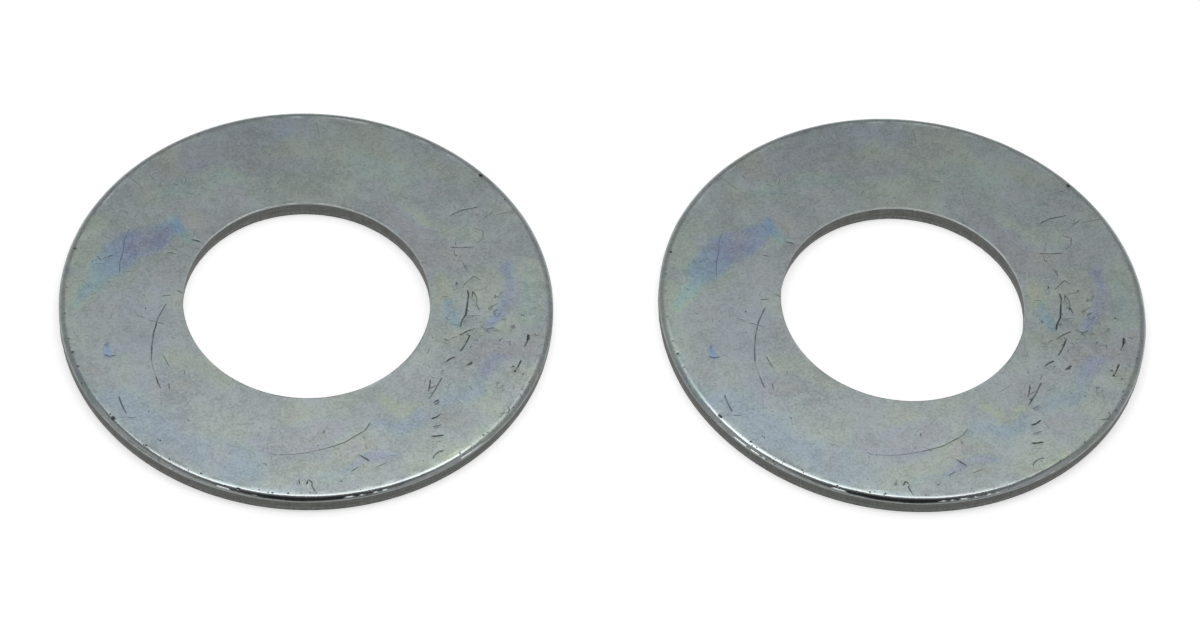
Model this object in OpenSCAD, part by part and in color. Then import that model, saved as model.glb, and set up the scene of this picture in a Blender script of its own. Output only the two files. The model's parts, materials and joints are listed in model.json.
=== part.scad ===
// Pair of flat thrust washers, blanked and pierced from sheet steel and zinc plated.
// They lie side by side on one surface with their rolled faces up.
// The origin is on that surface, midway between them, and X runs from the left washer to the right one.

/* [Washer] */
// Outer diameter, over the upright rim
outer_d = 51; // [44:0.5:76]
// Bore diameter, at the sheared land: a running fit on a 25.4 mm shaft
bore_d = 25.5; // [20:0.1:36]
// Sheet thickness
sheet_t = 2; // [1.6:0.1:3]

/* [Outer edge] */
// Radius of the roll-over that curves the top face down towards the rim
roll_r = 0.9; // [0.8:0.05:1.4]
// Width of the roll-over, from the end of the flat face to the rim
roll_w = 0.76; // [0.5:0.02:0.8]
// Radius of the shoulder between the roll-over and the upright rim
shoulder_r = 0.2; // [0.1:0.05:0.4]
// Height of the torn zone at the foot of the rim
rim_tear_h = 0.6; // [0.3:0.05:0.8]
// How far the torn zone leans in at its foot
rim_tear_in = 0.06; // [0:0.01:0.15]

/* [Bore edge] */
// Radius of the lip where the top face turns down into the bore
lip_r = 0.1; // [0.1:0.05:0.4]
// Height of the torn zone at the foot of the bore
bore_tear_h = 0.7; // [0.3:0.05:0.9]
// How far the torn zone opens out at its foot
bore_tear_out = 0.08; // [0:0.01:0.15]

/* [Underside] */
// Radius that tumbling and plating leave on both edges of the underside
foot_r = 0.12; // [0.05:0.01:0.2]

/* [Pair] */
// Clear gap between the two rims
pair_gap = 11; // [2:0.5:40]

/* [Hidden] */

outer_r = outer_d / 2;
bore_r = bore_d / 2;
pair_pitch = outer_d + pair_gap;
zinc = [0.46, 0.5, 0.5];

// Sides that the preview draws round a circle
$fn = 180;

// The roll-over's centre lies under the end of the flat face.
roll_c = [outer_r - roll_w, sheet_t - roll_r];
// The shoulder's circle touches the roll-over's circle from inside, and the rim.
shoulder_c = [
    outer_r - shoulder_r,
    roll_c.y + sqrt((roll_r - shoulder_r) ^ 2 - (roll_w - shoulder_r) ^ 2)
];
// Direction in which those two circles touch
blend_a = atan2(shoulder_c.y - roll_c.y, shoulder_c.x - roll_c.x);
// The lip's circle touches the top face and the sheared land.
lip_c = [bore_r + lip_r, sheet_t - lip_r];
// The feet's circles touch the underside, and each torn zone ends at its circle's side.
rim_foot_c = [outer_r - rim_tear_in - foot_r, foot_r];
bore_foot_c = [bore_r + bore_tear_out + foot_r, foot_r];

// Point on a circle, in a direction given in degrees
function on_circle(centre, r, a) = centre + r * [cos(a), sin(a)];

// Slice of a disc between two directions, so that its rim is a true arc
module slice(centre, r, from, to) {
    reach = 2 * r;
    intersection() {
        translate(centre) circle(r);
        polygon([centre, on_circle(centre, reach, from), on_circle(centre, reach, to)]);
    }
}

// The ring's section on one side of its axis, from the foot of the rim round to the foot of the bore.
// A punch leaves three zones on each wall: a rounded entry, a smooth sheared land and a torn zone.
// The polygon runs from arc end to arc end, and each slice fills the bulge over its own chord.
module washer_section() {
    polygon([
        [rim_foot_c.x, 0],
        [outer_r - rim_tear_in, foot_r],
        [outer_r, rim_tear_h],
        [outer_r, shoulder_c.y],
        on_circle(roll_c, roll_r, blend_a),
        [roll_c.x, sheet_t],
        [lip_c.x, sheet_t],
        [bore_r, lip_c.y],
        [bore_r, bore_tear_h],
        [bore_r + bore_tear_out, foot_r],
        [bore_foot_c.x, 0]
    ]);
    slice(rim_foot_c, foot_r, -90, 0);
    slice(shoulder_c, shoulder_r, 0, blend_a);
    slice(roll_c, roll_r, blend_a, 90);
    slice(lip_c, lip_r, 90, 180);
    slice(bore_foot_c, foot_r, 180, 270);
}

module washer() {
    rotate_extrude() washer_section();
}

module left_washer() {
    color(zinc) translate([-pair_pitch / 2, 0, 0]) washer();
}

module right_washer() {
    color(zinc) translate([pair_pitch / 2, 0, 0]) washer();
}

left_washer();
right_washer();
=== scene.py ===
# %% [markdown]
# # A pair of thrust washers
#
# Two flat rings of sheet steel, zinc plated, lie side by side with their rolled edges up.
# A press blanks such a ring out of a strip and pierces its bore.
# The punch leaves the same four zones on each cut wall: a rounded entry, a smooth sheared land,
# a torn zone where the steel broke, and a small foot that tumbling has rounded.
# The plating adds a satin grey with faint blue and violet clouds, and handling adds the scratches.
#
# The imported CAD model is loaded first. It is the fixed frame that everything else is fitted to.
# All lengths below are written in millimetres and become metres when they go into Blender.

# %% Load the frame
import json
from math import atan2, degrees, pi

import bpy
import numpy as np
from mathutils import Matrix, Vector
from numpy.linalg import norm


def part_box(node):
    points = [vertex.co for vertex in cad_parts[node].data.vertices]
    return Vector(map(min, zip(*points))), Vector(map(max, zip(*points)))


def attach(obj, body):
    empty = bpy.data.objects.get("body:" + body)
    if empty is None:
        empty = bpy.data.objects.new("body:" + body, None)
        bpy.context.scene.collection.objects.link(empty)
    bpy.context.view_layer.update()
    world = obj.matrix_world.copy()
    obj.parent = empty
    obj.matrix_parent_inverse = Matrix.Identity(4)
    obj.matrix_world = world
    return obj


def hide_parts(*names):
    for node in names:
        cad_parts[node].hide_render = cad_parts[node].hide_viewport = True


def add_object(name, data):
    """Object that holds the data, linked to the scene."""
    made = bpy.data.objects.new(name, data)
    bpy.context.collection.objects.link(made)
    return made


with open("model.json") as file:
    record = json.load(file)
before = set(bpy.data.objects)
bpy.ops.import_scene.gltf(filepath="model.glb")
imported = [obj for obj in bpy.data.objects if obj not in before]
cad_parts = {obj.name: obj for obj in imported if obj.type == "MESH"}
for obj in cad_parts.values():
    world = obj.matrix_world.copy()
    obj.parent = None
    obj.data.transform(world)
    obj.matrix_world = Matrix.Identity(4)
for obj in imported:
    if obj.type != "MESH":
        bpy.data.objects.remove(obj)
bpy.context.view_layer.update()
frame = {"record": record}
MM = 0.001

# %% [markdown]
# ## The camera
#
# The photograph looks down on the pair at about 52 degrees, slightly tilted, through a long lens.
# A camera could be placed by eye, but here its numbers come from fitting the washers' outlines:
# a circle seen by a camera is an ellipse, and four ellipses fix the direction, the roll and the lens.
# The camera's three axes are worked out from an azimuth, an elevation and a roll,
# because the same axes are used again below to place marks by their pixels in the photograph.

# %% Camera
PHOTO_WIDE, PHOTO_HIGH = 1200, 630  # px
SENSOR_WIDE = 36  # mm
FOCAL = 4658  # px
CAMERA_FROM_LOOK = 484.5  # mm
CAMERA_LOOK = np.array([-0.553, -0.306, 0])  # mm
CAMERA_TURN = dict(azimuth=-6.73, elevation=51.80, roll=5.65)  # degrees


def view_axes(azimuth, elevation, roll):
    """Right, up and back axes of a camera, as three rows.

    back = (sin az cos el, -cos az cos el, sin el); level right = z x back, made unit length;
    level up = back x right; then right and up turn by the roll in their own plane.
    """
    az, el, roll = np.radians([azimuth, elevation, roll])
    back = np.array([np.sin(az) * np.cos(el), -np.cos(az) * np.cos(el), np.sin(el)])
    right = np.cross([0, 0, 1], back)
    right /= norm(right)
    up = np.cross(back, right)
    return np.array([
        right * np.cos(roll) + up * np.sin(roll),
        up * np.cos(roll) - right * np.sin(roll),
        back,
    ])


axes = view_axes(**CAMERA_TURN)
camera_place = CAMERA_LOOK + axes[2] * CAMERA_FROM_LOOK
lens = bpy.data.cameras.new("photo_camera")
lens.sensor_fit = "HORIZONTAL"
lens.sensor_width = SENSOR_WIDE
lens.lens = FOCAL / PHOTO_WIDE * SENSOR_WIDE
camera = add_object("photo_camera", lens)
camera.matrix_world = Matrix.Translation(camera_place * MM) @ Matrix(axes.T.tolist()).to_4x4()
bpy.context.scene.camera = camera
print("camera at", np.round(camera_place, 1), "mm, lens", round(lens.lens, 1), "mm")

# %% [markdown]
# ## The section of one washer
#
# A washer could be a cylinder with a hole and a bevel, but a bevel rounds every edge alike.
# A blanked edge isn't alike all round, so the section is drawn as a path of eleven stretches.
# It runs clockwise: out over the face, down the rim, in under the ring and up the bore.
# Bends are true arcs, and the flat stretches have guard points close to their ends,
# so that Blender's smooth shading stays flat up to the bend.

# %% Section path
FACE_POINTS = 40  # the face carries all the marks, so it gets most of the points
ROLL_R, ROLL_W = 0.9, 0.76  # mm, the roll-over's radius and width
SHOULDER_R = 0.2  # mm
RIM_TEAR_H, RIM_TEAR_IN = 0.6, 0.06  # mm
LIP_R = 0.1  # mm
BORE_TEAR_H, BORE_TEAR_OUT = 0.7, 0.08  # mm
FOOT_R = 0.12  # mm

low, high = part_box("left_washer")
outer_r = (high.y - low.y) / 2 / MM
sheet_t = high.z / MM
bore_r = next(m["dims"]["r_mm"] for m in frame["record"]["mounts"] if m["name"] == "left_bore")


def bend(centre, radius, start, end, count):
    """Arc points, centre + radius (cos a, sin a), with a from start to end degrees, the end left out."""
    a = np.radians(np.linspace(start, end, count, endpoint=False))
    out = np.stack([np.cos(a), np.sin(a)], 1)
    return centre + radius * out, out


def run(start, end, count, guard=0.05):
    """Points start + (end - start) f, the end left out; the first and last steps are guard mm long.

    The normal is the direction of travel turned left: (dr, dz) becomes (-dz, dr).
    """
    start, end = np.array(start), np.array(end)
    length = norm(end - start)
    f = np.concatenate([[0], np.linspace(guard, length - guard, count - 1)]) / length
    dr, dz = (end - start) / length
    return start + f[:, None] * (end - start), np.tile([-dz, dr], (count, 1))


roll_c = np.array([outer_r - ROLL_W, sheet_t - ROLL_R])
shoulder_dr = ROLL_W - SHOULDER_R
shoulder_dz = np.sqrt((ROLL_R - SHOULDER_R) ** 2 - shoulder_dr ** 2)
shoulder_c = roll_c + [shoulder_dr, shoulder_dz]
blend = degrees(atan2(shoulder_dz, shoulder_dr))
rim_foot_c = np.array([outer_r - RIM_TEAR_IN - FOOT_R, FOOT_R])
bore_foot_c = np.array([bore_r + BORE_TEAR_OUT + FOOT_R, FOOT_R])
lip_c = np.array([bore_r + LIP_R, sheet_t - LIP_R])
bore_wall, bore_foot = bore_r + BORE_TEAR_OUT, [bore_r, BORE_TEAR_H]

STRETCHES = {
    "face": run([lip_c[0], sheet_t], [roll_c[0], sheet_t], FACE_POINTS),
    "roll": bend(roll_c, ROLL_R, 90, blend, 26),
    "shoulder": bend(shoulder_c, SHOULDER_R, blend, 0, 10),
    "rim land": run([outer_r, shoulder_c[1]], [outer_r, RIM_TEAR_H], 4),
    "rim tear": run([outer_r, RIM_TEAR_H], [outer_r - RIM_TEAR_IN, FOOT_R], 4),
    "rim foot": bend(rim_foot_c, FOOT_R, 0, -90, 3),
    "underside": run([rim_foot_c[0], 0], [bore_foot_c[0], 0], 4),
    "bore foot": bend(bore_foot_c, FOOT_R, 270, 180, 2),
    "bore tear": run([bore_wall, FOOT_R], bore_foot, 3),
    "bore land": run(bore_foot, [bore_r, lip_c[1]], 3),
    "lip": bend(lip_c, LIP_R, 180, 90, 5),
}
section = np.concatenate([points for points, normals in STRETCHES.values()])
section_out = np.concatenate([normals for points, normals in STRETCHES.values()])
stretch_of = np.repeat(list(STRETCHES), [len(points) for points, normals in STRETCHES.values()])
print(len(section), "points round the section, outer radius", round(outer_r, 3), "mm")

# %% [markdown]
# ## The grid
#
# The washer's surface is the section carried round the axis, so it is a function of two numbers:
# the place along the section and the angle round the bore. Both wrap round, which leaves no border.
# Every later step, such as a dent or a scratch, is worked out at each point of this grid.
# A washer has 960 spokes. Round the rim they lie about one and a half pixels of the photograph apart,
# and one ring stays under 200,000 triangles.

# %% Grid of one washer
SPOKES = 960

angle = np.arange(SPOKES) * 2 * pi / SPOKES
spoke = np.stack([np.cos(angle), np.sin(angle)], 1)


def carried_round(path):
    """Grid of points (r cos a, r sin a, z): each section point (r, z) at each angle a."""
    r, z = path[..., 0], path[..., 1]
    flat = np.broadcast_to(r[:, None] if r.ndim == 1 else r, (len(path), SPOKES))
    tall = np.broadcast_to(z[:, None] if z.ndim == 1 else z, (len(path), SPOKES))
    return np.stack([flat * spoke[:, 0], flat * spoke[:, 1], tall], -1)


def wrapped_quads(rings, spokes):
    """Quads (i, j), (i+1, j), (i+1, j+1), (i, j+1), with both numbers wrapping round."""
    i, j = np.meshgrid(np.arange(rings), np.arange(spokes), indexing="ij")
    i2, j2 = (i + 1) % rings, (j + 1) % spokes
    corners = [i * spokes + j, i2 * spokes + j, i2 * spokes + j2, i * spokes + j2]
    return np.stack(corners, -1).reshape(-1, 4)


plain = carried_round(section)
quads = wrapped_quads(len(section), SPOKES)
print(len(quads) * 2, "triangles in one washer")


def zone(*names, soft=0):
    """Column of 1 on the named stretches and 0 elsewhere, averaged over `soft` neighbours a side."""
    mask = np.isin(stretch_of, names).astype(float)
    window = np.ones(2 * soft + 1) / (2 * soft + 1)
    return np.convolve(np.concatenate([mask] * 3), window, "same")[len(mask):2 * len(mask), None]


# %% [markdown]
# ## Places read off the photograph
#
# The marks are placed by their pixels in the photograph. A pixel is a ray from a camera,
# and the ray meets a washer's top face at one point.
# The photograph shows the same picture of one washer twice, taken from closer by than one camera
# for both washers can stand. So how far out a mark lies is read through that near camera, which
# keeps its distance to both edges. In which direction it lies is read through the scene's camera,
# which keeps its place in the picture.

# %% From a pixel to a place on a washer
PICTURE_STEP = {"left": (0, 0), "right": (597, 3.7)}  # px, from the left picture to this one
NEAR_FOCAL = 1647  # px
NEAR_MIDDLE = (306, 302)  # px, where the near camera's axis meets its picture
NEAR_FROM_LOOK = 172.9  # mm
NEAR_LOOK = np.array([-0.051, 0.306, 0])  # mm from the washer's axis
PX = 0.115  # mm on the face that one photograph pixel covers, on average

near_axes = view_axes(azimuth=0, elevation=52.14, roll=6.49)
near_place = NEAR_LOOK + near_axes[2] * NEAR_FROM_LOOK
centres = {side: np.array(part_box(side + "_washer")).mean(0)[:2] / MM for side in PICTURE_STEP}


def hit(pixels, place, turned, focal, middle):
    """Where the rays through a camera's pixels meet the top face: place + t ray, z = thickness."""
    across, down = (pixels - np.array(middle)).T / focal
    ray = across[:, None] * turned[0] - down[:, None] * turned[1] - turned[2]
    t = (sheet_t - place[2]) / ray[:, 2]
    return (place + t[:, None] * ray)[:, :2]


def on_face(pixels, side):
    """Places on one washer, from its axis, of pixels that were read off the left picture.

    The direction through the scene's camera, made as long as the radius through the near camera.
    """
    pixels = np.atleast_2d(pixels)
    radius = norm(hit(pixels, near_place, near_axes, NEAR_FOCAL, NEAR_MIDDLE), axis=1)
    shifted, middle = pixels + np.array(PICTURE_STEP[side]), (PHOTO_WIDE / 2, PHOTO_HIGH / 2)
    toward = hit(shifted, camera_place, axes, FOCAL, middle) - centres[side]
    return toward * (radius / norm(toward, axis=1))[:, None]


FRONT_PIXEL = (306, 500)  # at the front edge of the left washer
for side in centres:
    radius = np.hypot(*on_face(FRONT_PIXEL, side)[0])
    print(side, "washer: the pixel", FRONT_PIXEL, "lies", round(radius, 2), "mm from its axis")


def follow(path, spots):
    """Nearest stretch of a path to each spot, as three arrays.

    side is the spot's distance to the left of the stretch's line, cross(direction, spot - start).
    past is how far it lies beyond the stretch's ends. place is the stretch's number plus the
    fraction along it.
    """
    nearest = np.full(len(spots), np.inf)
    side, past, place = (np.zeros(len(spots)) for _ in range(3))
    for number, (start, end) in enumerate(zip(path[:-1], path[1:])):
        length = norm(end - start)
        way = (end - start) / length
        from_start = spots - start
        along = from_start @ way
        off = way[0] * from_start[:, 1] - way[1] * from_start[:, 0]
        over = np.clip(np.abs(along - length / 2) - length / 2, 0, None)
        closer = np.hypot(off, over) < nearest
        nearest[closer] = np.hypot(off, over)[closer]
        side[closer], past[closer] = off[closer], over[closer]
        place[closer] = number + np.clip(along / length, 0, 1)[closer]
    return side, past, place


# %% [markdown]
# ## Scratches
#
# A scratch is far narrower than the grid's cells, so it can't be cut into the mesh cleanly.
# An image would hold it, but it would blur close up. Instead each grid point stores how far it lies
# to the left or right of the nearest scratch. That distance changes evenly from point to point,
# so the material can draw a sharp line where it passes through zero.
# A second number, the force, says how dark the scratch is, and fades at its ends.
# Two such pairs let one scratch cross another.

# %% Scratches on the face
# Each line gives a scratch's darkness and its course in photograph pixels, read off the left washer.
SCRATCHES = {
    "long arc left of the bore": (0.75, [(168, 304), (161, 318), (157.5, 332), (156, 345), (155.7, 358)]),
    "long arc's tail": (0.35, [(155.7, 358), (157, 365), (160, 374.3)]),
    "long arc's blot": (0.7, [(160, 374.3), (162, 380), (164.3, 385)]),
    "front arc's faint start": (0.4, [(229.4, 443.3), (234, 444.5), (239.4, 446.1)]),
    "front arc's blot": (0.5, [(270.6, 452.5), (275.6, 454.4)]),
    "front arc, left half": (0.5, [(279.4, 454.1), (292.8, 454.4), (307.2, 452.8), (326.1, 448.9)]),
    "front arc, right half": (0.7, [(326.1, 448.9), (345, 443.3), (354, 438), (366, 431), (370, 424)]),
    "upright line in the violet cloud": (0.5, [
        (127.6, 228), (125, 234), (123.2, 240), (122.4, 250), (120.1, 259), (119.5, 265), (119.7, 272)]),
    "upper left rim": (0.4, [(126, 174), (143, 188)]),
    "top": (0.45, [(316, 126), (319, 137)]),
    "right gouge": (1.0, [(465.5, 290), (467, 295), (466, 303), (465, 314), (461, 321), (460, 326)]),
    "right gouge's head": (0.6, [(461.5, 285), (467, 280), (471, 276), (477, 280)]),
    "right gouge's twin": (0.7, [(471, 291), (475, 298), (475, 304), (478, 309.5)]),
    "right shelf": (0.7, [(447, 248), (458, 248.5), (469.5, 248)]),
    "right curl": (0.55, [(469.5, 230), (478, 233), (478, 240), (473, 244)]),
    "right hook above the dashes": (0.8, [(475, 328), (467, 331), (460, 335)]),
    "right flick": (0.95, [(470, 335), (467, 342), (464, 347), (461.5, 351)]),
    "lower flick": (0.9, [(456, 357), (451, 359), (447, 362)]),
    "back arc on the right": (0.75, [(447, 217.5), (456, 213), (472, 210)]),
    "back arc's end": (0.5, [(491, 217), (506, 214)]),
    "twin slash, short": (0.8, [(431.4, 380.7), (431, 386), (429.6, 392)]),
    "twin slash, long": (0.8, [(442.9, 378.6), (437.9, 388.6), (431, 400)]),
    "ladder, first rung": (0.8, [(435.7, 404.3), (440.7, 401.4)]),
    "ladder, second rung": (1.0, [(434.3, 421), (438.6, 420), (443.3, 416.4)]),
    "ladder, third rung": (0.7, [(436.4, 430), (444.3, 427.9)]),
    "ladder, fourth rung": (1.0, [(435.7, 440), (441, 440), (446.9, 439)]),
    "hook at the front": (0.8, [(437.9, 463.6), (438.6, 460.7), (442.9, 457.1), (448.6, 455.7)]),
    "bracket by the right rim": (0.65, [(505.7, 416.4), (513.6, 415.7), (515, 412.1), (512.9, 408.6)]),
    "dark cut at the front": (0.9, [(360, 457), (370.5, 464)]),
    "flick across the violet streak": (0.6, [(353, 475), (359, 471)]),
    "long flick at the front": (0.5, [(377, 472), (389, 467)]),
    "slash on the left": (0.75, [(121.7, 395), (124.3, 402.9), (128.3, 411.4)]),
    "arc in the blue spot": (0.7, [(107.9, 353.6), (112.1, 355.7), (119.3, 354)]),
    "foot by the right rim": (0.9, [(523, 361), (521, 366), (518.5, 371)]),
    "black pit's tail": (0.9, [(528.5, 338), (527, 343), (525.5, 346)]),
    "cut left of the bore": (0.9, [(189.5, 238), (194, 239), (197.5, 240.5)]),
    "faint line right of the bore": (0.35, [(410.7, 380), (405.7, 383.6), (401.4, 385.7)]),
}
# Each line gives the darkness of short dashes that lie together, and their two ends.
DASHES = {
    "across the long arc": (0.6, [(140, 315, 147, 317), (153, 319.5, 167, 323)]),
    "beside the long arc": (0.6, [
        (167.9, 353.6, 174.3, 364.3), (189.3, 368, 189, 371.5), (173, 381, 173.5, 387)]),
    "left of the bore": (0.7, [(178, 290, 183.5, 293), (164, 296, 173, 295), (166, 251.5, 173.5, 253)]),
    "left, in the violet cloud": (0.7, [(103, 258, 113, 254.5), (97, 256, 100, 259.5)]),
    "left, under that": (0.35, [(95, 263.5, 105, 263.5), (128, 271.5, 135, 270.5), (100, 235, 107, 237)]),
    "left, above the cloud": (0.35, [(138, 209, 133, 216), (160, 211, 163, 210), (170, 211, 174, 211)]),
    "left, below the cloud": (0.4, [(121, 300, 125.5, 302), (110, 340, 110.5, 346), (108, 345, 113, 342)]),
    "left, cloud's edge": (0.4, [(89, 286, 91.5, 287), (80, 281, 85, 280)]),
    "left, by the slash": (0.55, [(121.4, 415.7, 127.1, 415.7), (130, 416, 138, 416)]),
    "behind the gouge": (0.55, [
        (477, 222, 486, 215), (480, 215, 485, 216.5), (452, 241, 452.5, 246),
        (451, 250, 452, 256), (460, 263, 462, 268), (463, 269, 464.5, 271.5)]),
    "right of the bore": (0.5, [(453.5, 237, 453.6, 241), (464, 266, 464.2, 270), (465, 315, 478, 315)]),
    "right, gouge's beads": (0.8, [(455, 283, 456.5, 285), (472, 300, 477, 302), (474, 305, 477, 305)]),
    "right, under the gouge": (0.55, [
        (462, 321.5, 468, 321), (479, 321, 482, 321.6), (463, 318, 474, 316)]),
    "right, bright edged": (0.8, [(468, 366, 473, 362), (472, 365.5, 474, 362)]),
    "right, cluster": (0.6, [
        (482, 327, 488, 330), (490, 328, 499, 330), (485, 331, 491, 327),
        (494, 330.5, 499, 331), (488, 332, 491, 331)]),
    "right, scribble": (0.55, [
        (489, 304, 491, 309), (491, 309, 493.5, 315), (494, 312, 491, 307),
        (496.5, 316.5, 499, 313), (493, 305, 495.5, 303), (488, 310.5, 487, 307)]),
    "right, small dashes": (0.6, [
        (476, 340, 477.5, 340.5), (483, 343, 485, 343.5), (519, 313, 523, 316),
        (513.5, 325, 512, 331), (500, 348, 502, 349)]),
    "right, by the rim": (0.75, [
        (534, 334, 538, 335.5), (516, 372.5, 520.5, 373), (514, 366.5, 516.5, 368)]),
    "right, upright": (0.55, [(500.4, 382, 500.7, 391), (505, 384.3, 506.9, 392.9)]),
    "ladder, doubled": (0.6, [
        (437, 406, 441.5, 403), (437.5, 431.5, 443, 430), (437, 445.7, 439, 445.7),
        (442.5, 445.5, 445, 445.3)]),
    "beside the ladder": (0.5, [(448.6, 420.5, 451, 422.3), (363.5, 436, 365, 441), (366, 446, 368, 452)]),
    "front rim": (0.8, [(298.9, 483.5, 299.5, 487.5), (297, 487.7, 300, 487.2), (306.5, 487.5, 308, 483.5),
                        (310, 484, 312.5, 486.5), (311.7, 489.4, 316, 497)]),
    "back": (0.5, [(263, 189, 266, 185), (276, 181, 280, 177), (336, 174, 343, 174)]),
}
# Each line gives a field of small random scratches: their number, the field's corners in pixels,
# their greatest length in pixels and their greatest darkness.
FIELDS = {
    "all over": (360, (60, 116), (551, 516), 5, 0.3),
    "upper left": (26, (105, 165), (200, 240), 6, 0.5),
    "left": (24, (75, 250), (185, 345), 5, 0.5),
    "above the gouge": (26, (440, 205), (515, 280), 5, 0.5),
    "round the gouge": (70, (440, 285), (515, 350), 5, 0.75),
    "below the gouge": (34, (425, 345), (535, 395), 5, 0.65),
    "front right": (24, (395, 395), (500, 455), 5, 0.4),
    "front": (34, (240, 440), (400, 495), 4.5, 0.5),
    "left front": (26, (140, 380), (240, 470), 5, 0.4),
    "back": (34, (200, 125), (430, 195), 5, 0.4),
}
SCRATCH_REACH = 0.36  # mm, how far from its line a scratch is stored
SIDE_FADE = 0.4  # share of that over which its force fades
END_FADE = 0.12  # mm past its ends, the same
FAR = 9.0  # mm, stored where no mark is near
BEND_SPREAD = 0.5  # radians, a small scratch's bend
STEP_SHARES = (0.15, 0.5)  # its steps, as shares of its field's length
PALEST = 0.3  # as a share of its field's darkness
rng = np.random.default_rng(51)

on_top = np.isin(stretch_of, ["face", "roll"])
top_spots = plain[on_top][..., :2].reshape(-1, 2)


def new_layer():
    """Scratch layer: the distance to the nearest scratch's line, its force, and its nearness."""
    count = len(top_spots)
    return {"side": np.full(count, FAR), "force": np.zeros(count), "gap": np.full(count, np.inf)}


def score(layer, path, darkness):
    """Writes a scratch where it is the nearest one yet.

    force = darkness x (1 at the line, 0 at the reach) x (1 inside the ends, 0 a little past them).
    """
    middle, half = (path.max(0) + path.min(0)) / 2, (path.max(0) - path.min(0)) / 2
    near = np.flatnonzero((np.abs(top_spots - middle) < half + SCRATCH_REACH).all(1))
    side, past, place = follow(path, top_spots[near])
    gap = np.hypot(side, past)
    fade = np.clip((SCRATCH_REACH - np.abs(side)) / (SIDE_FADE * SCRATCH_REACH), 0, 1)
    force = darkness * fade * np.clip(1 - past / END_FADE, 0, 1)
    wins = gap < layer["gap"][near]
    near = near[wins]
    layer["gap"][near], layer["side"][near] = gap[wins], side[wins]
    layer["force"][near] = force[wins]


small = [(darkness, np.reshape(dash, (2, 2))) for darkness, dashes in DASHES.values() for dash in dashes]
for number, corner, far_corner, longest, darkest in FIELDS.values():
    for _ in range(number):
        heading = rng.uniform(0, 2 * pi) + np.array([0, rng.normal(0, BEND_SPREAD)])
        steps = rng.uniform(*STEP_SHARES) * longest * np.stack([np.cos(heading), np.sin(heading)], 1)
        course = rng.uniform(corner, far_corner) + np.cumsum([[0, 0], *steps], axis=0)
        small.append((rng.uniform(PALEST, 1) * darkest, course))

layers = {}
for side in centres:
    deep, fine = new_layer(), new_layer()
    for darkness, pixels in SCRATCHES.values():
        score(deep, on_face(pixels, side), darkness)
    for darkness, pixels in small:
        score(fine, on_face(pixels, side), darkness)
    layers[side] = {"deep": deep, "fine": fine}
print(len(SCRATCHES), "scratches and", len(small), "small ones on each washer")

# %% [markdown]
# ## Pits and nicks
#
# A pit is a dark dot where the plating is missing, and a nick is a dent in an edge.
# Both could be painted, but a nick changes the outline, so it is pressed into the mesh.
# A nick is also darkened in the colour: partly dirt, and partly painted shade inside its dent.

# %% Pits on the face and nicks in the rim
# Each line gives the pits' radius in mm and their places in photograph pixels.
PITS = {
    "right, black": (0.19, [(528.7, 335.5), (528.6, 337.5), (528.4, 339.2)]),
    "right, black, tip": (0.09, [(528.7, 333.5), (528.2, 341.5)]),
    "back": (0.11, [(313.6, 159), (298, 190), (315, 187.5), (467, 186)]),
    "left": (0.11, [(148, 308), (95.7, 380), (210, 364), (156, 357.5)]),
    "left front": (0.12, [(158.6, 397.1), (151.4, 409.3), (171.4, 411.4), (190.7, 417.9), (234, 399)]),
    "left front rim": (0.12, [(158.8, 437.9), (161.4, 439.3), (147, 444.3), (200.6, 474), (224.4, 481.7)]),
    "front": (0.12, [
        (318.3, 469.4), (318.3, 445), (287.2, 486.1), (299, 485.5), (307.3, 486.3), (342.2, 485.6)]),
    "front, upright": (0.10, [(323.9, 428.5), (323.9, 430), (323.8, 431.5)]),
    "front, small": (0.07, [(258.9, 432.8), (282.8, 472.8), (241.7, 436.1), (372.6, 472), (376, 487.5)]),
    "front rim": (0.12, [
        (271.7, 496.5), (287.8, 497.5), (300, 497), (316.7, 497.6), (332.2, 497), (237.2, 490.6)]),
    "right front": (0.11, [(425, 450), (427.9, 452), (489.7, 439.6), (466, 459), (439.3, 411.4)]),
    "right": (0.11, [
        (454.6, 282.6), (453.5, 256), (506, 355.5), (520, 315), (540, 289.5), (526, 376), (527, 384)]),
    "right, by the foot": (0.16, [(515.2, 366.8), (518, 372)]),
}
ROLL_PITS = 200
ROLL_PIT_INSET = (3, 0.25)  # shape and scale in mm of their gamma draw
ROLL_PIT_RADII = (0.03, 0.09)  # mm
at, out = rng.uniform(0, 2 * pi, ROLL_PITS), outer_r - rng.gamma(*ROLL_PIT_INSET, ROLL_PITS)
roll_pits = np.stack([out * np.cos(at), out * np.sin(at)], 1)
roll_pit_radii = rng.uniform(*ROLL_PIT_RADII, ROLL_PITS)

# Each line gives a nick's place on the rim in photograph pixels, its width and its depth in mm,
# and its darkness, which paints dirt and also painted shade inside the dent.
NICKS = {
    "upper right": (474, 180, 0.60, 0.03, 1.0),
    "lower left": (113, 418, 0.75, 0.015, 1.0),
    "left, highest": (76.5, 248.5, 0.35, 0.02, 0.9),
    "left, high": (70, 270, 0.30, 0.01, 0.7),
    "left, middle": (66, 313, 0.30, 0.01, 0.7),
    "left, low": (71, 338, 0.30, 0.01, 0.7),
    "left, lower": (75.5, 351, 0.40, 0.02, 0.9),
    "left, lowest": (81.5, 365, 0.35, 0.01, 0.8),
    "front left": (146.5, 444, 0.35, 0.01, 0.7),
    "right, worn": (543.6, 355.5, 0.50, 0.01, 0.6),
}
NICK_FROM_CORNER = 0.64  # mm, across plus down from the sheet's square corner
NICK_TALL = 0.2  # mm, over which a nick fades up and down
rim_height = np.where(np.isin(stretch_of, ["face", "roll", "shoulder", "rim land"]),
                      outer_r - section[:, 0] + sheet_t - section[:, 1] - NICK_FROM_CORNER, FAR)


def along_rim(pixel, side):
    """Distance in mm of each spoke from a pixel's place, measured along the rim: angle x outer radius."""
    place = on_face(pixel, side)[0]
    return ((angle - atan2(place[1], place[0]) + pi) % (2 * pi) - pi) * outer_r


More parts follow.
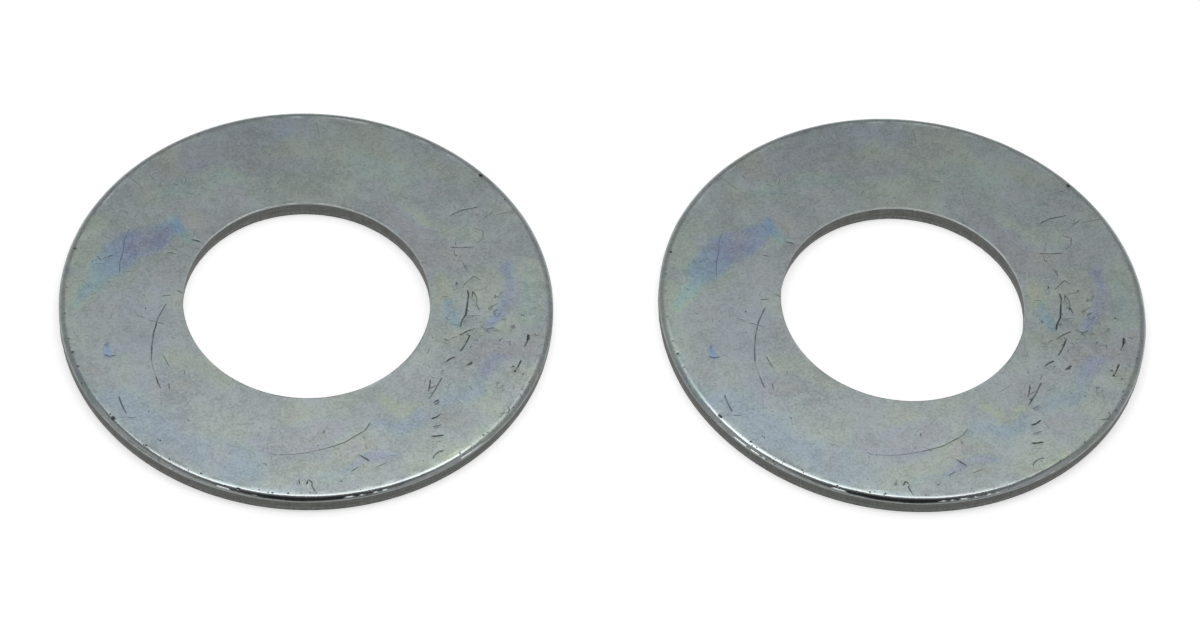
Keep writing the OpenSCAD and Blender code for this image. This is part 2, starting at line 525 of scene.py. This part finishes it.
pit_gap, nick, nick_dark = {}, {}, {}
for side in centres:
    pit_gap[side] = np.full(len(top_spots), FAR)
    pits = [(place, radius) for radius, pixels in PITS.values() for place in on_face(pixels, side)]
    for place, radius in pits + list(zip(roll_pits, roll_pit_radii)):
        gap = norm(top_spots - place, axis=1) - radius
        pit_gap[side] = np.minimum(pit_gap[side], gap)
    nick[side], nick_dark[side] = np.zeros((2, len(section), SPOKES))
    for x, y, width, depth, darkness in NICKS.values():
        up, along = rim_height[:, None] / NICK_TALL, along_rim((x, y), side) / width * 2
        shape = np.exp(-up ** 2 - along ** 2)
        nick[side] += depth * shape
        # The darkness paints dirt and the shade inside the dent.
        nick_dark[side] = np.maximum(nick_dark[side], darkness * shape)
print(len(pits) + ROLL_PITS, "pits and", len(NICKS), "nicks on each washer")

# %% [markdown]
# ## Colour clouds
#
# Clear passivate is a film thinner than a wavelength of light. Light from its top and its bottom
# adds up or cancels out, and which colour cancels depends on the film's thickness.
# So the clouds aren't painted in colours: each grid point stores the film's optical thickness and
# how clearly it shows, and the material works out the colour. A run of colours along a cloud then
# comes out in nature's own order.

# %% Film thickness over the face
# Each cloud: how clearly it shows, how soft its edge is in pixels, how far it is warped, and the
# points of its line: photograph pixels, width in pixels, and the film's optical thickness in nm.
# With growing thickness the tint runs from pink at 380 over violet at 440, blue at 465, teal at
# 500 and green at 530 to straw at 580.
CLOUDS = {
    "violet cloud": (0.35, 9, 0.35, [
        (79, 304, 5, 502), (88, 290, 9, 492), (99, 276, 12, 482), (112, 262, 16, 466), (126, 250, 19, 446),
        (141, 242, 18, 441), (156, 234, 13, 444), (169, 227, 9, 460)]),
    "violet cloud's right end": (0.30, 8, 0.4, [
        (172, 218, 5, 470), (180, 227, 6, 482), (184, 236, 4, 500)]),
    "blue spot on the left": (0.42, 4, 0.3, [(112, 345, 3, 452), (113, 352, 4, 452)]),
    "teal at the back": (0.16, 10, 1, [(176, 192, 10, 505), (205, 179, 11, 505), (240, 172, 9, 510)]),
    "leaf green at the back": (0.07, 12, 1, [
        (255, 187, 12, 530), (292, 176, 13, 535), (338, 172, 11, 525)]),
    "teal at the back, right": (0.12, 12, 1, [(348, 160, 9, 505), (372, 168, 11, 500), (400, 180, 9, 505)]),
    "green behind the gouge": (0.07, 14, 1, [
        (408, 196, 13, 505), (440, 208, 16, 505), (458, 236, 13, 505)]),
    "violet at the back": (0.06, 16, 1, [(190, 158, 14, 425), (240, 140, 18, 425), (300, 130, 13, 430)]),
    "blue at the very back": (0.09, 9, 0.6, [(279, 138, 6, 460), (290, 134, 6, 460)]),
    "pink right of the bore": (0.09, 14, 1, [(386, 213, 9, 385), (415, 238, 14, 385), (434, 265, 11, 385)]),
    "straw by the bore": (0.07, 7, 0.6, [(440, 282, 6, 585), (442, 302, 6, 580)]),
    "teal by the gouge": (0.30, 11, 0.5, [(449, 303, 6, 490), (454, 316, 9, 480)]),
    "violet on the right": (0.28, 11, 0.6, [
        (501, 267, 4, 442), (504, 282, 4, 440), (504, 297, 9, 438), (502, 311, 9, 440), (494, 325, 6, 448)]),
    "violet spot on the right": (0.20, 12, 0.6, [
        (496, 356, 5, 444), (492, 366, 8, 442), (488, 376, 7, 450)]),
    "green by the right rim": (0.15, 10, 1, [(528, 270, 8, 515), (532, 297, 10, 515), (534, 322, 8, 515)]),
    "pink on the right": (0.07, 14, 1, [(468, 342, 14, 390), (500, 346, 12, 385), (526, 356, 12, 385)]),
    "leaf green on the left": (0.08, 12, 1, [(74, 290, 6, 525), (84, 254, 9, 530), (106, 214, 9, 535)]),
    "teal along the left rim": (0.13, 10, 1, [(68, 318, 7, 500), (76, 358, 7, 495), (94, 398, 8, 490)]),
    "lavender left of the bore": (0.05, 20, 1, [
        (146, 288, 16, 440), (142, 330, 24, 440), (162, 382, 20, 445)]),
    "blue at the lower left": (0.17, 30, 1, [
        (118, 402, 20, 468), (190, 444, 22, 468), (240, 470, 16, 472)]),
    "blue at the front": (0.09, 20, 1, [(225, 482, 9, 475), (262, 486, 9, 475), (300, 490, 6, 482)]),
    "pink at the front": (0.05, 20, 1, [(268, 446, 16, 395), (310, 440, 20, 390), (344, 428, 12, 385)]),
    "teal at the front": (0.13, 9, 1, [(317, 489, 6, 500), (336, 485, 6, 500), (356, 481, 5, 505)]),
    "leaf green at the front left": (0.05, 14, 1, [
        (184, 394, 9, 530), (212, 412, 10, 530), (244, 428, 9, 530)]),
    "straw at the front": (0.08, 8, 0.8, [(384, 405, 5, 580), (404, 411, 4, 575), (428, 404, 5, 580)]),
    "blue below the straw": (0.20, 14, 0.8, [(378, 429, 8, 470), (404, 427, 9, 470), (430, 418, 9, 472)]),
    "blue right of it": (0.16, 14, 0.8, [(440, 403, 9, 475), (462, 396, 10, 475), (482, 388, 9, 470)]),
    "violet streak at the front": (0.20, 9, 0.5, [
        (351, 475, 3, 450), (366, 466, 5, 440), (380, 461, 6, 440), (394, 457, 4, 450)]),
    "leaf green at the front right": (0.06, 14, 1, [
        (424, 462, 12, 530), (456, 450, 13, 530), (486, 440, 9, 530)]),
    "straw by the hook": (0.10, 7, 0.6, [(452, 462, 5, 575), (468, 456, 5, 580)]),
}
BACKGROUND_FILM = (475, 50, 0.03)  # nm, its variation in nm, and how clearly it counts among clouds
FRINGE = 22  # nm by which a cloud is thicker at its edge than at its line
FRINGE_END = 1.5  # widths from the line, where that stops
WALL_FILM = 200  # nm, off the face and the roll
WARPS = ((5, 0.45), (1.6, 0.18))  # mm, waves that move a cloud's edge
PATCH_WAVE, BACKGROUND_WAVE = 3.5, 6  # mm
WAVE_COUNT = 24


def swell(points, wavelength, flat=1.0):
    """Sum of plane waves cos(k.p + phase) in random directions, scaled to a spread of about 1.

    flat multiplies z first, so a value near 0 draws the pattern out into upright lines.
    """
    way = rng.normal(size=(WAVE_COUNT, 3))
    way /= norm(way, axis=1)[:, None]
    k = way * 2 * pi / (wavelength * rng.uniform(0.7, 1.5, (WAVE_COUNT, 1)))
    phase = rng.uniform(0, 2 * pi, WAVE_COUNT)
    scaled = points * [1, 1, flat]
    total = sum(np.cos(scaled @ k[n] + phase[n]) for n in range(WAVE_COUNT))
    return total / np.sqrt(WAVE_COUNT / 2)


def eased(x):
    """Smooth step: 0 below 0, 1 above 1, and 3x^2 - 2x^3 between."""
    x = np.clip(x, 0, 1)
    return x * x * (3 - 2 * x)


top_points = np.column_stack([top_spots, np.zeros(len(top_spots))])
warp = sum(np.stack([swell(top_points, wave), swell(top_points, wave)], 1) * size for wave, size in WARPS)
patchy = eased(0.9 + 0.25 * swell(top_points, PATCH_WAVE))
background = swell(top_points, BACKGROUND_WAVE)


def clouds(side):
    """Film thickness and show of one washer's clouds, as two arrays.

    weight = eased(0.5 + (width - distance) / softness). The thickness is the mean of the clouds'
    thicknesses, weighted by (show x weight)^2, and the show is 1 - the product of (1 - show x weight).
    """
    usual, varied, counts = BACKGROUND_FILM
    weight_sum = np.full(len(top_spots), counts ** 2)
    film_sum, hidden = weight_sum * (usual + varied * background), np.ones(len(top_spots))
    for show, soft, warped, line in CLOUDS.values():
        line = np.array(line, float)
        off, past, place = follow(on_face(line[:, :2], side), top_spots + warp * warped)
        stop, gap = np.arange(len(line)), np.hypot(off, past)
        width = np.interp(place, stop, line[:, 2]) * PX
        shown = show * eased(0.5 + (width - gap) / (soft * PX)) * patchy
        thickness = np.interp(place, stop, line[:, 3])
        thickness += FRINGE * np.minimum(gap / width, FRINGE_END) ** 2
        weight_sum += shown ** 2
        film_sum += shown ** 2 * thickness
        hidden *= 1 - shown
    return film_sum / weight_sum, 1 - hidden


films = {side: clouds(side) for side in centres}
print(len(CLOUDS), "clouds, the clearest shows", round(films["left"][1].max(), 2))

# %% [markdown]
# ## Relief
#
# No stamped surface is true. The face is slightly wavy, the sheared walls carry upright lines from
# the punch, the torn zone is ragged, and a narrow broken ledge runs along parts of the roll.
# All of this is a small shift of each grid point along the section's normal.
# The shift comes from sums of plane waves, which have a chosen wavelength and no repeat.

# %% Relief of one washer
face_zone = zone("face", soft=1)
wall_zone = zone("rim land", "bore land", "shoulder", soft=1)
torn_zone = zone("rim tear", "bore tear", soft=1)
edge_zone = zone("roll", "lip")

# Each wave: where it runs, its height and wavelength in mm, and its flatness (see swell)
WAVES = [
    (face_zone, 0.006, 9, 1), (face_zone, 0.0012, 2.2, 1), (edge_zone, 0.004, 2.5, 1),
    (wall_zone, 0.006, 4, 1), (wall_zone, 0.001, 0.9, 0.15),
    (torn_zone, 0.010, 1.5, 1), (torn_zone, 0.008, 0.6, 0.5),
]
relief = sum(height * rows * swell(plain, wave, flat) for rows, height, wave, flat in WAVES)

# A ledge runs along the roll for part of the way round. It faces the way that the roll's bright line
# does, so it draws a second bright line. Each line gives the pixels where a ledge starts and ends,
# how far down the roll it lies in degrees, and its width in mm.
LEDGES = {
    "front left": ((131, 434), (180, 467), 44, 0.11),
    "front, left half": ((200, 477), (256, 494), 36, 0.12),
    "front, right half": ((344, 500), (405, 488), 36, 0.12),
    "front right": ((446, 471), (487, 443), 43, 0.12),
}
LEDGE_TURN = 16  # degrees from level, the ledge's own slope
LEDGE_DROP = 0.02  # mm, over which the surface comes back down
LEDGE_FADE = 0.8  # mm along the rim, over which a ledge starts and ends
# Wavelength and strength of the waves that break the ledges up. They are measured on a circle
# by the bore, so they are about twice as long on the roll.
BREAKS = ((1.4, 3.0), (0.5, 2.0))
MOSTLY_WHOLE = 0.9  # above 0.5, so that more of a ledge stands than is broken
on_roll = np.isin(stretch_of, ["roll", "shoulder"])
turned_down = np.degrees(np.arctan2(section_out[:, 0], section_out[:, 1]))
roll_turn = turned_down[on_roll]
roll_path = section[on_roll]
roll_way = np.cumsum(norm(np.diff(roll_path, axis=0, prepend=roll_path[:1]), axis=1))
by_bore = plain[:1] * [1, 1, 0]
broken = eased(MOSTLY_WHOLE + sum(strength * swell(by_bore, wave) for wave, strength in BREAKS))


def ledge(down_the_roll, width):
    """Height at each point of the roll and shoulder of a ledge with its own slope.

    It climbs by tan(turn of the surface - turn of the ledge) per mm over its width, then drops to 0.
    """
    start = np.interp(down_the_roll, roll_turn, roll_way)
    climb = np.tan(np.radians(roll_turn - LEDGE_TURN))
    inside = np.clip(roll_way - start, 0, width)
    height = np.concatenate([[0], np.cumsum((climb[1:] + climb[:-1]) / 2 * np.diff(inside))])
    return height * np.clip(1 - (roll_way - start - width) / LEDGE_DROP, 0, 1)


# The roll is rubbed bright at the front only, from one pixel to another and below its first degrees.
RUBBED_FROM, RUBBED_TO = (100, 402), (478, 452)
RUB_START, RUB_GROWS = 9, 6  # degrees down the roll
RUB_FADE = 4  # mm along the rim
LIP_RUB = 0.4  # how far the bore's lip is rubbed bright all round
rubbed_rows = zone("roll") * eased((turned_down[:, None] - RUB_START) / RUB_GROWS)


def rubbed(side):
    """How far each point of the roll is rubbed bright: rows x spokes, faded at both ends."""
    inside = np.minimum(along_rim(RUBBED_FROM, side), -along_rim(RUBBED_TO, side))
    return rubbed_rows * eased(0.5 + inside / RUB_FADE)


DENT_WIDE, DENT_DEEP = 0.25, 0.006  # mm, where a deep scratch pushes the metal down
shaped = {}
for side in centres:
    raised = np.zeros((len(section), SPOKES))
    for start, end, down_the_roll, width in LEDGES.values():
        inside = np.minimum(along_rim(start, side), -along_rim(end, side))
        here = eased(0.5 + inside / LEDGE_FADE) * broken
        raised[on_roll] += ledge(down_the_roll, width)[:, None] * here
    dent = np.zeros((len(section), SPOKES))
    deep = layers[side]["deep"]
    dent[on_top] = (deep["force"] ** 2 * np.exp(-(deep["side"] / DENT_WIDE) ** 2)).reshape(-1, SPOKES)
    height = relief + raised - nick[side] - DENT_DEEP * dent
    shaped[side] = carried_round(section[:, None] + height[..., None] * section_out[:, None])
    print(side, "relief from", round(height.min(), 3), "to", round(height.max(), 3), "mm")

# %% [markdown]
# ## The two pieces
#
# Each washer is one closed mesh that stands for its CAD node, because a washer is one piece of metal.
# The grid is moved to the washer's bore and handed to Blender whole.
# The masks and distances travel with the points as attributes, which the material reads by name.

# %% Build both washers


def on_grid(values, elsewhere=0.0):
    """Values of the top's points spread over the whole grid, with one number everywhere else."""
    grid = np.full((len(section), SPOKES), float(elsewhere))
    grid[on_top] = values.reshape(-1, SPOKES)
    return grid


def attributes(side):
    """The masks and distances that the material reads, one value per grid point or per ring."""
    film, film_show = films[side]
    masks = {
        "burnish": rubbed(side) + LIP_RUB * zone("lip"),
        "sheared": zone("rim land", "bore land"),
        "shoulder": zone("shoulder"),
        "torn": zone("rim tear", "bore tear", "rim foot", "bore foot"),
        "pit_gap": on_grid(pit_gap[side], FAR),
        "nick_dark": nick_dark[side],
        "film": on_grid(film, WALL_FILM),
        "film_show": on_grid(film_show),
    }
    for name, layer in layers[side].items():
        masks[name + "_side"], masks[name + "_force"] = on_grid(layer["side"], FAR), on_grid(layer["force"])
    return masks


def grid_piece(name, points, faces, masks):
    """Object at the origin whose mesh holds the points in metres, the faces and the masks."""
    mesh = bpy.data.meshes.new(name)
    mesh.from_pydata((points.reshape(-1, 3) * MM).tolist(), [], faces.tolist())
    mesh.shade_smooth()
    for key, values in masks.items():
        filled = np.broadcast_to(values, (len(section), SPOKES)).astype(np.float32).ravel()
        mesh.attributes.new(key, "FLOAT", "POINT").data.foreach_set("value", filled)
    return add_object(name, mesh)


washers = []
for side, centre in centres.items():
    placed = shaped[side] + [*centre, 0]
    piece = grid_piece(side + "_thrust_washer", placed, quads, attributes(side))
    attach(piece, "root")
    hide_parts(side + "_washer")
    washers.append(piece)
    print(piece.name, "of", len(piece.data.vertices), "points round", np.round(centre, 2), "mm")

# %% [markdown]
# ## Writing a material as sums
#
# A material is a net of nodes. Dragging each one into place hides the sum that they stand for.
# This class lets a socket be written into an expression, so that 1 - mask adds the Math node itself.

# %% A socket that can be added and multiplied


class Value:
    """One output socket. + - * / and abs() on it add Math nodes, with numbers on either side."""

    def __init__(self, finish, socket):
        self.finish, self.socket = finish, socket

    def math(self, operation, *terms, **settings):
        """Math node with this operation over the terms, which are numbers or values."""
        settings = dict(operation=operation, **settings)
        return self.finish.node("Math", settings, dict(enumerate(terms)))

    def __add__(self, other): return self.math("ADD", self, other)
    def __sub__(self, other): return self.math("SUBTRACT", self, other)
    def __rsub__(self, other): return self.math("SUBTRACT", other, self)
    def __mul__(self, other): return self.math("MULTIPLY", self, other)
    def __truediv__(self, other): return self.math("DIVIDE", self, other)
    def __abs__(self): return self.math("ABSOLUTE", self)
    __radd__, __rmul__ = __add__, __mul__

    def sin(self): return self.math("SINE", self)
    def clamped(self): return self.math("ADD", self, 0, use_clamp=True)

    def part(self, name):
        """Another output of the same node."""
        return Value(self.finish, self.socket.node.outputs[name])


class Finish:
    """A node tree being written, with one method that adds any node."""

    def __init__(self, owner):
        owner.use_nodes = True
        self.tree = owner.node_tree
        self.tree.nodes.clear()

    def node(self, kind, settings=None, inputs=None, output=0):
        """Adds a ShaderNode of this kind: its settings, then its sockets by name, number or identifier."""
        node = self.tree.nodes.new("ShaderNode" + kind)
        for key, value in (settings or {}).items():
            setattr(node, key, value)
        by_id = {socket.identifier: socket for socket in node.inputs}
        for key, value in (inputs or {}).items():
            socket = by_id.get(key) or node.inputs[key]
            if isinstance(value, Value):
                self.tree.links.new(value.socket, socket)
            else:
                socket.default_value = value
        out_by_id = {socket.identifier: socket for socket in node.outputs}
        outlets = out_by_id.get(output) or (node.outputs[output] if node.outputs else None)
        return Value(self, outlets)

    def attribute(self, name):
        """The value that each point of the mesh stores under this name."""
        return self.node("Attribute", {"attribute_name": name}, output="Fac")

    def noise(self, where, size, detail=2, roughness=0.5):
        """Noise about 0, from -0.5 to 0.5, whose lumps are about `size` mm wide."""
        inputs = {"Vector": where, "Scale": 1 / (size * MM), "Detail": detail, "Roughness": roughness}
        return self.node("TexNoise", None, inputs, output="Fac") - 0.5

    def mix(self, factor, first, second, blend_type="MIX"):
        """Colour between two colours, or blended by another rule."""
        settings = {"data_type": "RGBA", "blend_type": blend_type}
        inputs = {"Factor_Float": factor, "A_Color": first, "B_Color": second}
        return self.node("Mix", settings, inputs, output="Result_Color")


# %% [markdown]
# ## Satin zinc
#
# Zinc plate is a metal, so its colour is the colour of its reflection, and Metallic is 1.
# The face is satin: it mirrors the lamp only as a broad soft glow. The roll is rubbed bright at the
# front and shines more there. The sheared walls are darker and duller, and the torn zones darkest.
# One material with masks is easier to keep in step than four materials with borders between them.

# %% Zinc material
FACE_LIGHT = (0.465, 0.507, 0.500, 1)
FACE_DARK = (0.335, 0.370, 0.363, 1)
BURNISHED = (0.58, 0.62, 0.625, 1)
SHEARED = (0.100, 0.101, 0.092, 1)
TORN = (0.084, 0.082, 0.074, 1)
SCRATCHED = (0.06, 0.062, 0.062, 1)
# Dark pits, and the nicks' painted dirt and painted shade inside their dents
PITS_DIRT_AND_NICK_SHADE = (0.012, 0.012, 0.012, 1)
WAVELENGTHS = (610, 550, 465)  # nm, of red, green and blue light
DEEP_WIDE, FINE_WIDE = 0.085, 0.07  # mm, half a scratch's width at a force of 0.9
LINE_SOFT, PIT_SOFT = 0.035, 0.05  # mm, how soft their edges are
SPECKS_APART = 1.1  # mm
MEAN_SWING = 0.4
SOFT_BUMP, SHARP_BUMP = 0.006, 0.010  # mm

material = bpy.data.materials.new("zinc_plate")
zinc = Finish(material)
where = zinc.node("TexCoord", output="Object")

cloudy = zinc.noise(where, 5.0, detail=3)
mottle = zinc.noise(where, 0.8, detail=3, roughness=0.6)
grain = zinc.noise(where, 0.28, detail=3, roughness=0.7)
squashed = zinc.node("VectorMath", {"operation": "MULTIPLY"}, {0: where, 1: (1, 1, 0.07)})
upright = zinc.noise(squashed, 0.3, detail=3, roughness=0.6)
flattened = zinc.node("VectorMath", {"operation": "MULTIPLY"}, {0: where, 1: (0.08, 0.08, 1)})
lengthwise = zinc.noise(flattened, 0.16, detail=2, roughness=0.6)
ragged = zinc.noise(where, 0.25, detail=3, roughness=0.7)

burnish, sheared, shoulder, torn = map(zinc.attribute, ("burnish", "sheared", "shoulder", "torn"))


def scratch_line(layer, width):
    """1 on a scratch's line and 0 beside it: (half width - distance) / softness + 0.5, times force."""
    side, force = zinc.attribute(layer + "_side"), zinc.attribute(layer + "_force")
    half_width = width * (0.25 + 0.85 * force)
    edge = (half_width + mottle * 0.12 + grain * 0.16 - abs(side)) / LINE_SOFT + 0.5
    return edge.clamped() * (force * (1 + mottle * 1.5)).clamped()


deep_line = scratch_line("deep", DEEP_WIDE)
fine_line = scratch_line("fine", FINE_WIDE)
scratch = (deep_line + fine_line * (1 - deep_line)).clamped()
pit = ((0.02 - zinc.attribute("pit_gap")) / PIT_SOFT).clamped()
# Nicks darken as painted dirt and as painted shade inside the dent.
nick_dirt_and_painted_shade = (zinc.attribute("nick_dark") * 2.2 - 0.7 + mottle).clamped()
dots = {"Vector": where, "Scale": 1 / (SPECKS_APART * MM)}
from_dot = zinc.node("TexVoronoi", None, dots, output="Distance")
speck = ((0.085 + mottle * 0.12 - from_dot) / 0.04).clamped()

film_nm = zinc.attribute("film") + cloudy * 40 + mottle * 15
film_show = (zinc.attribute("film_show") + 0.05 + cloudy * 0.12).clamped()


def film_tint(wavelength):
    """How much more or less of a wavelength comes back than on average.

    1 + show x (mean swing - sin^2(2 pi thickness / wavelength)). The mean swing keeps the level.
    """
    swing = (film_nm * (2 * pi / wavelength)).sin()
    return 1 + film_show * (MEAN_SWING - swing * swing)


tints = {number: film_tint(wavelength) for number, wavelength in enumerate(WAVELENGTHS)}
tint = zinc.node("CombineColor", None, tints)

colour = zinc.mix((0.6 + cloudy * 1.2 + mottle * 1.6 + grain * 3.2).clamped(), FACE_DARK, FACE_LIGHT)
colour = zinc.mix(1.0, colour, tint, "MULTIPLY")
covers = [
    (burnish * (0.85 + mottle), BURNISHED),
    (shoulder * 0.35, SHEARED),
    (sheared * (0.9 + upright * 0.25 + lengthwise * 0.35), SHEARED),
    (torn * (0.8 + ragged * 1.2), TORN),
    (scratch * 0.9, SCRATCHED),
    (speck * 0.55, SCRATCHED),
    # pits, and the nicks' painted dirt and painted shade
    ((pit + nick_dirt_and_painted_shade) * 0.9, PITS_DIRT_AND_NICK_SHADE),
]
for cover, shade in covers:
    colour = zinc.mix(cover.clamped(), colour, shade)

roughness = (0.38 + mottle * 0.08 + cloudy * 0.06 - burnish * 0.23 + sheared * 0.2
             + torn * 0.20 + scratch * 0.15)

soft_bump = zinc.node("Bump", None, {
    "Strength": 1.0, "Distance": SOFT_BUMP * MM,
    "Height": grain + mottle + upright * sheared * 0.6 + ragged * torn * 4})
sharp_bump = zinc.node("Bump", None, {
    "Strength": 1.0, "Distance": SHARP_BUMP * MM, "Height": 1 - scratch - pit, "Normal": soft_bump})
surface = zinc.node("BsdfPrincipled", None, {
    "Base Color": colour, "Metallic": 1.0, "Roughness": roughness, "Normal": sharp_bump})
zinc.node("OutputMaterial", None, {"Surface": surface})
for piece in washers:
    piece.data.materials.append(material)
print("zinc material of", len(zinc.tree.nodes), "nodes")

# %% [markdown]
# ## Floor
#
# The pair lies on a plain pale floor. White paper that is lit like the object turns out grey,
# because the object's highlights need the room above it. So the floor's own colour does half the
# work, where its shadow shows, and the rest is a glow that only the camera and mirrors see.

# %% Floor
FLOOR_HALF = 4.0  # m
FLOOR_COLOUR = (0.70, 0.70, 0.70, 1)
FLOOR_GLOW = 0.62
floor_mesh = bpy.data.meshes.new("floor")
corners = [(x * FLOOR_HALF, y * FLOOR_HALF, 0) for x, y in ((-1, -1), (1, -1), (1, 1), (-1, 1))]
floor_mesh.from_pydata(corners, [], [(0, 1, 2, 3)])
floor = add_object("floor", floor_mesh)

paper_material = bpy.data.materials.new("pale_paper")
paper = Finish(paper_material)
matt = paper.node("BsdfDiffuse", None, {"Color": FLOOR_COLOUR})
ray = paper.node("LightPath", output="Is Camera Ray")
seen = (ray + ray.part("Is Glossy Ray") + ray.part("Is Transmission Ray")).clamped()
glow = paper.node("Emission", None, {"Strength": seen * FLOOR_GLOW})
both = paper.node("AddShader", None, {0: matt, 1: glow})
paper.node("OutputMaterial", None, {"Surface": both})
floor_mesh.materials.append(paper_material)
print("floor", 2 * FLOOR_HALF, "m wide")

# %% [markdown]
# ## Light
#
# The faces mirror the room behind the pair, and the soft edge of a lamp that hangs over it.
# That is why the photograph's faces are lighter towards the front. A wide dim lamp makes this glow.
# A narrow bright one straight above makes the thin highlight on the rolled edge.
# The room behind the camera is dark: the steep part of the roll mirrors it as a dark line.
# Near the horizon and at the sides the room is lighter, because the sides of the roll mirror it there
# and are lighter in the photograph too.

# %% Lamps and room
LAMP_HEIGHT = 0.30  # m
# Each lamp: its left, right, front and back edge in m, and its radiance
LAMPS = {
    "glow": (-0.15, 0.145, -0.03, 0.183, 1.50),
    "highlight": (-0.13, 0.12, -0.015, 0.035, 3.6),
}
ROOM = 0.26
ROOM_NEAR_HORIZON = 0.50
ROOM_BEHIND_CAMERA = 0.03
# Where each part of the room starts and where it is full, as parts of the direction
BEHIND, STRAIGHT, UPWARD = (-0.12, -0.47), (0.52, 0.24), (0.36, 0.48)  # y, |x| and z
NEAR_HORIZON = (0.45, 0.15)  # z
SIDE_RISE = 0.8  # how much higher that lies at the sides, per unit of |x|

for name, (left, right, front, back, radiance) in LAMPS.items():
    light = bpy.data.lights.new(name, "AREA")
    light.shape = "RECTANGLE"
    light.size, light.size_y = right - left, back - front
    light.energy = radiance * pi * light.size * light.size_y
    lamp = add_object(name, light)
    lamp.location = ((left + right) / 2, (front + back) / 2, LAMP_HEIGHT)
    lamp.visible_camera = False
    print(name, "lamp of", round(light.energy, 2), "W")



def ramp(value, start, full):
    """0 before start, 1 past full, and (value - start) / (full - start) between."""
    return ((value - start) / (full - start)).clamped()


world = bpy.data.worlds.new("room")
bpy.context.scene.world = world
room = Finish(world)
direction = room.node("TexCoord", output="Generated")
toward_x = room.node("SeparateXYZ", None, {0: direction}, output="X")
sideways, toward_y, toward_z = abs(toward_x), toward_x.part("Y"), toward_x.part("Z")
dark = ramp(toward_y, *BEHIND) * ramp(sideways, *STRAIGHT) * ramp(toward_z, *UPWARD)
bright = ROOM + ramp(toward_z - sideways * SIDE_RISE, *NEAR_HORIZON) * (ROOM_NEAR_HORIZON - ROOM)
strength = bright + dark * (ROOM_BEHIND_CAMERA - bright)
backdrop = room.node("Background", None, {"Strength": strength})
room.node("OutputWorld", None, {"Surface": backdrop})
bpy.context.scene.view_settings.view_transform = "Standard"
